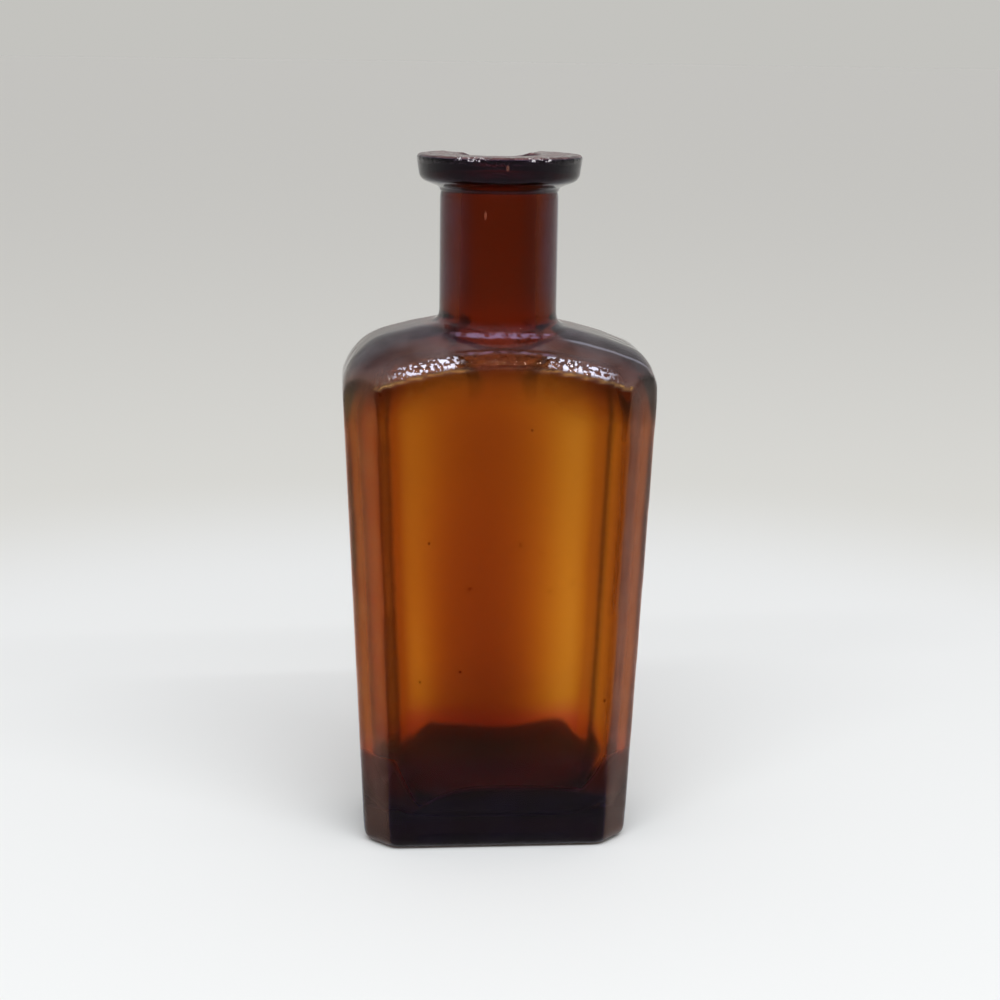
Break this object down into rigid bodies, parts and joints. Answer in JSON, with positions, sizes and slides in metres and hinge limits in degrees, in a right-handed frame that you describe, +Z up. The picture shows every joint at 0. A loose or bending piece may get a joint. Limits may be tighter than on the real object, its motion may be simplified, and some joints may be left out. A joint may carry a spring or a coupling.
{
  "type": "prescription vial",
  "caption": "Amber glass prescription bottle with a tapered, chamfered rectangular body, arched shoulder, straight neck and flared cork-mouth lip, chipped at the rim.",
  "frame": {"origin": "middle of the base, on the plane it rests on", "axes": "+Z up along the neck, label panels facing -Y (front) and +Y (back), narrow sides facing -X and +X"},
  "size_m": [0.0482, 0.0282, 0.108],
  "materials": {
    "amber_glass": "blown amber glass, smooth with slight waves",
    "lip_glass": "tooled amber glass, thicker and darker than the body"
  },
  "bodies": {
    "root": {"vessel": "amber_glass", "lip": "lip_glass"}
  },
  "joints": []
}
